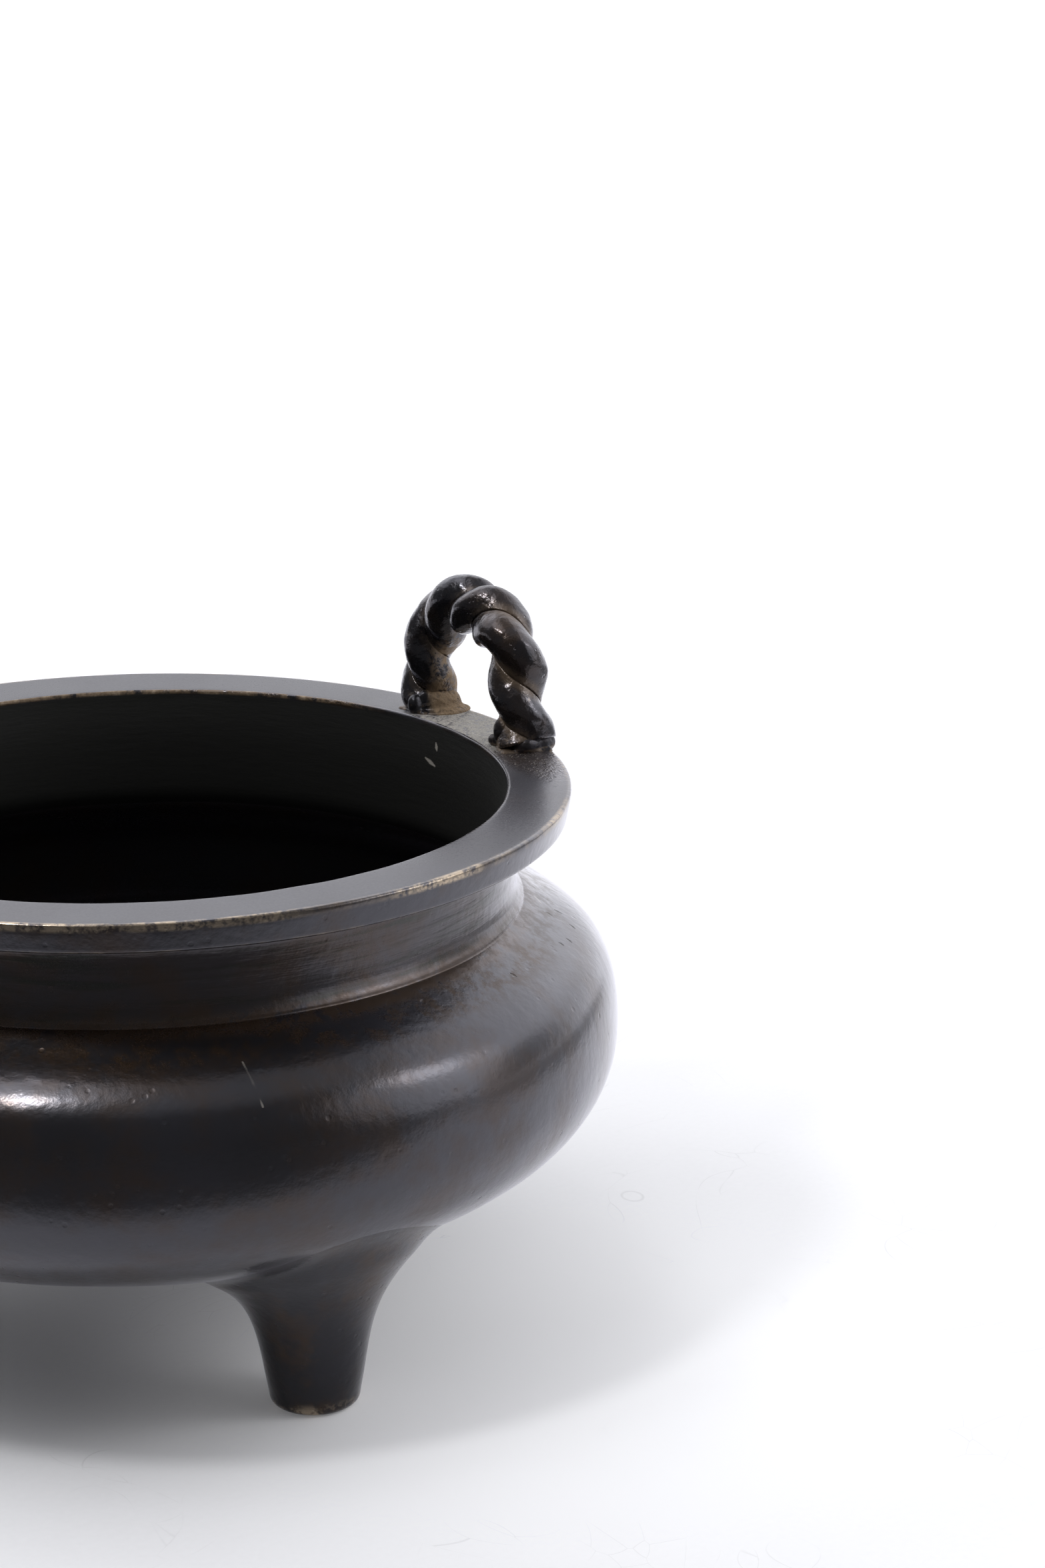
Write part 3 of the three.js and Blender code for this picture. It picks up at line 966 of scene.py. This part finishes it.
rope = {
    "sides": 36,
    "backs": (3.25, 3.35, 3.15),  # radius of a strand's back: near foot, crown and far foot
    "offset": 1.45,  # rope's middle to a strand's middle
    "softness": 0.2,  # of the groove
    "gap": 0.05,
    "tuck": 0.97,  # width of a strand's flat side
    "grooveDepth": 1.4,
    "plane": 59.74,
    "arch": (  # (y, z) of the rope's middle, rounded from a curve that was fitted to the photo
        (-15.1, 80.9), (-13.8, 84.4), (-12.8, 89.2), (-11.5, 94.2), (-9.0, 97.7), (-5.0, 99.0),
        (-0.4, 99.4), (3.9, 99.4), (7.7, 97.6), (10.9, 94.2), (13.0, 89.9), (13.9, 85.3), (13.4, 80.9),
    ),
    "fineSteps": 1200,  # along the arch, from which the equal steps are taken
    "turns": (0.04, 0.62, 1.18, 1.96, 2.48, 3.03),  # made by the strands, at equal shares of the arch
    "lean": 0.3,  # flattens the grooves on the legs
    "leanEnds": 8,  # none at the arch's ends, all of it an eighth of the arch further on
    "steps": 130,
    "lumpSize": 5,
    "lumpDepth": 2,
    "lumpHeight": 0.5,
}
ropeLook = {
    "brown": 0.45, "fleck": 0.3, "roughness": 0.24, "peel": 0.17, "peelScale": 620, "grain": 0.006,
    "pitScale": 900, "pits": 0.9, "pitDepth": 0.13, "wax": 0.85, "gloss": 0.15,
}


def smoothAt(places, values, place):  # on a smooth line through the values
    steep = [(v1 - v0) / (p1 - p0) for p0, p1, v0, v1 in zip(places, places[1:], values, values[1:])]
    slopes = steep[:1] + [(before + after) / 2 for before, after in zip(steep, steep[1:])] + steep[-1:]
    i = sum(place > p for p in places[1:-1])
    run = places[i + 1] - places[i]
    t = (place - places[i]) / run
    bend = values[i] * (1 + 2 * t) * (1 - t) ** 2 + values[i + 1] * t * t * (3 - 2 * t)
    return bend + slopes[i] * run * t * (1 - t) ** 2 - slopes[i + 1] * run * t * t * (1 - t)


def archPlaces(steps):  # places at equal lengths along the arch
    corners = [Vector(corner) for corner in rope["arch"]]
    lengths = [0]
    for before, after in zip(corners, corners[1:]):
        lengths.append(lengths[-1] + (after - before).length)
    fine = []
    fineSteps = rope["fineSteps"]
    for i in range(fineSteps + 1):
        goal = lengths[-1] * i / fineSteps
        y, z = (smoothAt(lengths, [corner[axis] for corner in corners], goal) for axis in (0, 1))
        fine.append(Vector((rope["plane"], y, z)) * mm)
    run = [0]
    for before, after in zip(fine, fine[1:]):
        run.append(run[-1] + (after - before).length)
    places = []
    j = 0
    for i in range(steps + 1):
        goal = run[-1] * i / steps
        while j < fineSteps - 1 and run[j + 1] < goal:
            j += 1
        places.append(fine[j].lerp(fine[j + 1], min(1, (goal - run[j]) / (run[j + 1] - run[j]))))
    return places, run[-1]


def strandSection(place):  # a circle's corner moved onto half of the rope's section
    angle = math.atan2(place.y, place.x)
    half = rope["gap"] / 2
    groove = math.sqrt(1 - rope["offset"] ** 2 / rope["backs"][0] ** 2)
    if math.sin(angle) < -0.01:
        return Vector((groove * rope["tuck"] * math.cos(angle), half / rope["backs"][0]))
    lift = math.sqrt(math.sin(angle) ** 2 + rope["softness"] ** 2)
    offset = rope["offset"] / rope["backs"][0]
    reach = offset * lift + math.sqrt(1 - (offset * math.cos(angle)) ** 2)
    return Vector((reach * math.cos(angle), max(half / rope["backs"][0], reach * math.sin(angle))))


def makeStrand(name, half):
    places, length = archPlaces(rope["steps"])
    stepLength = length / rope["steps"]
    piece = addRing(name, rope["sides"], 1, (0, 0, 0))
    for i in range(rope["steps"]):
        bpy.ops.mesh.extrude_region_move(TRANSFORM_OT_translate={"value": (0, 0, stepLength)})
    objectMode()
    for height in (0, length / mm):
        closeRingAt(piece, height)
        objectMode()
    depth = piece.data.attributes.new("groove", "FLOAT", "POINT")
    share = piece.data.attributes.new("share", "FLOAT", "POINT")
    level = Vector((1, 0, 0))
    for vertex in piece.data.vertices:
        i = min(rope["steps"], round(vertex.co.z / stepLength))
        before = places[max(0, i - 1)]
        after = places[min(rope["steps"], i + 1)]
        outward = level.cross((after - before).normalized())
        along = i / rope["steps"]
        turns = smoothAt((0, 0.2, 0.4, 0.6, 0.8, 1), rope["turns"], along) + half
        back = smoothAt((0, 0.5, 1), rope["backs"], along)
        flat = vertex.co.xy / mm
        section = strandSection(flat) if flat.length > 0.5 else Vector((0, 0.5))
        share.data[vertex.index].value = along
        depth.data[vertex.index].value = 1 - max(0, section.y) / rope["grooveDepth"]
        section = section * back * mm
        angle = -2 * math.pi * turns
        a = -section.x * math.cos(angle) - section.y * math.sin(angle)
        b = -section.x * math.sin(angle) + section.y * math.cos(angle)
        lean = rope["lean"] * (1 - 2 * along) * min(1, rope["leanEnds"] * min(along, 1 - along))
        vertex.co = places[i] + outward * a + level * b + (after - before).normalized() * b * lean
    turnOutwards()
    smooth(piece, 1)
    roughen(piece, rope)
    applyModifiers(piece)
    return piece


ropeWear = {
    "raggedNoise": (240, 4, 0.65),  # scale, detail and roughness
    "fineNoise": (1300, 3, 0.6),
    "footHeight": (81.5, 84),
    "farAlong": (7.6, 4.6, 1.5),  # casting earth inside the far leg: middle, half and softness
    "farHeight": (91, 96),
    "farOut": (56.5, 59.5),
    "cut": (0.5, 0.9),  # of the groove, where dust lies
    "nearLeg": (0.22, 0.42),  # share of the arch over which its dust gets thinner
    "earthHeight": 0.15,
}


def ropeMasks(place):
    w = ropeWear
    x, y, z = place.parts()
    height = z / mm
    side = x.math("SIGN", x)
    along = y * side / mm
    out = x * side / mm
    ragged = place.noise(*w["raggedNoise"])
    fine = place.noise(*w["fineNoise"])
    groove = place.node("Attribute", {"attribute_name": "groove"}, {}, 2)
    share = place.node("Attribute", {"attribute_name": "share"}, {}, 2)
    low = 1 - height.between(*w["footHeight"])
    far = along.band(*w["farAlong"]) * (1 - height.between(*w["farHeight"])) * out.between(*w["farOut"])
    cut = groove.between(*w["cut"]) * (0.6 - share.between(*w["nearLeg"]) * 0.25)
    dusty = cut * ragged.between(0.36, 0.56)
    dust = (far * (ragged * 0.7 + fine * 0.3).between(0.42, 0.55)).larger(dusty * 0.6)
    dust = dust.larger(low * ragged.between(0.52, 0.62) * 0.6)
    return {
        "dust": dust * 0.9,
        "brown": (fine - 0.5).larger(0) * 0.5 + place.noise(130, 2).between(0.5, 0.62) * 0.35,
        "wear": place.noise(520, 3, 0.6).between(0.66, 0.76) * 0.25,
        "relief": (fine - 0.5) * dust * (w["earthHeight"] * mm),
    }


ropeBronze = bronze("handle_bronze", ropeLook, ropeMasks)
for strandName, half in (("first", 0), ("second", 0.5)):
    node = "right_handle_%s_strand" % strandName
    strand = makeStrand(node + "_casting", half)
    otherNode = "left_handle_%s_strand" % strandName
    other = copyPiece(strand, otherNode + "_casting", math.pi)
    finishPiece(strand, node, ropeBronze)
    finishPiece(other, otherNode, ropeBronze)
print("handles cast", len(strand.data.polygons))


# Seats

seat = {
    "plate": (8.4, 6.6, 1.0),  # along the lip's radius, round the lip, height
    "plateEdge": 0.6,
    "grain": 0.2,  # of the mesh
    "near": {  # centre, reach each way
        "turn": -20,
        "plate": (59.3, -14.5, 80.2),
        "lumps": (
            ((57.1, -12.7, 82.7), (1.8, 1.7, 2.6)),
            ((61.4, -15.4, 81.0), (2.8, 2.6, 2.0)),
            ((58.8, -16.6, 81.3), (2.2, 1.7, 1.4)),
            ((56.6, -11.2, 81.0), (1.2, 1.5, 1.1)),
        ),
    },
    "far": {
        "turn": 12,
        "plate": (59.6, 13.6, 80.2),
        "lumps": (
            ((55.9, 12.0, 81.6), (1.25, 1.3, 1.6)),
            ((60.6, 11.4, 81.0), (3.4, 2.3, 3.2)),
            ((60.9, 10.2, 80.3), (4.0, 2.9, 0.9)),
            ((57.6, 11.6, 82.0), (1.3, 1.1, 1.9)),
        ),
    },
    "lumpSize": 2.2,
    "lumpDepth": 2,
    "lumpHeight": 0.5,
}


def makeSeat(name, which):
    settings = seat[which]
    a = math.radians(settings["turn"])
    deselectAll()
    bpy.ops.mesh.primitive_cube_add(size=1, location=(0, 0, 0))
    piece = bpy.context.object
    piece.name = piece.data.name = name
    editMode()
    bpy.ops.transform.resize(value=[s * mm for s in seat["plate"]])
    bpy.ops.mesh.bevel(offset=seat["plateEdge"] * mm, segments=3, affect="EDGES")
    bpy.ops.transform.rotate(value=-a, orient_axis="Z", center_override=(0, 0, 0))
    bpy.ops.transform.translate(value=Vector(settings["plate"]) * mm)
    for place, reach in settings["lumps"]:
        bpy.ops.mesh.select_all(action="DESELECT")
        middle = Vector(place) * mm
        bpy.ops.mesh.primitive_ico_sphere_add(subdivisions=4, radius=mm, location=middle, scale=reach)
    objectMode()
    addModifier(piece, "REMESH", {"mode": "VOXEL", "voxel_size": seat["grain"] * mm})
    addModifier(piece, "SMOOTH", {"factor": 0.5, "iterations": 8})
    roughen(piece, seat)
    addModifier(piece, "CORRECTIVE_SMOOTH", {"factor": 0.3, "iterations": 2, "use_only_smooth": True})
    applyModifiers(piece)
    turnOutwards()
    return piece


seatLook = {**ropeLook, "roughness": 0.36, "wax": 0.35, "gloss": 0.25}
seatWear = {
    "raggedNoise": (500, 4, 0.65),  # scale, detail and roughness
    "fineNoise": (1300, 3, 0.6),
    "earthAlong": (9.8, 3.4, 0.9),  # the wedge at the far foot: middle, half and softness
    "earthOut": (57.2, 58.4),
    "spotAlong": (-13.4, 1.0, 0.5),  # on the near foot's knob
    "spotOut": (57.4, 1.1, 0.5),
    "spotHeight": (83.0, 83.8),
    "lineHeight": (80.7, 81.0),  # along the lip
    "earthHeight": 0.3,
}


def seatMasks(place):
    w = seatWear
    x, y, z = place.parts()
    height = z / mm
    side = x.math("SIGN", x)
    along = y * side / mm
    out = x * side / mm
    ragged = place.noise(*w["raggedNoise"])
    fine = place.noise(*w["fineNoise"])
    earth = along.band(*w["earthAlong"]) * out.between(*w["earthOut"])
    spot = along.band(*w["spotAlong"]) * out.band(*w["spotOut"]) * height.between(*w["spotHeight"])
    line = (1 - height.between(*w["lineHeight"])) * ragged.between(0.4, 0.5)
    grain = (fine * 0.6 + ragged * 0.4).between(0.34, 0.52)
    dust = (earth * (grain * 0.6 + 0.4)).larger(spot).larger(line * 0.35)
    dust = dust.larger(ragged.between(0.6, 0.68) * 0.5)
    return {"dust": dust * 0.9, "relief": (fine - 0.5) * dust * (w["earthHeight"] * mm)}


seatBronze = bronze("seat_bronze", seatLook, seatMasks)
for which, node, otherNode in (
    ("near", "right_handle_front_seat", "left_handle_rear_seat"),
    ("far", "right_handle_rear_seat", "left_handle_front_seat"),
):
    piece = makeSeat(node + "_casting", which)
    other = copyPiece(piece, otherNode + "_casting", math.pi)
    finishPiece(piece, node, seatBronze)
    finishPiece(other, otherNode, seatBronze)
print("seats cast", len(piece.data.polygons))


bpy.context.scene.view_settings.view_transform = "Standard"
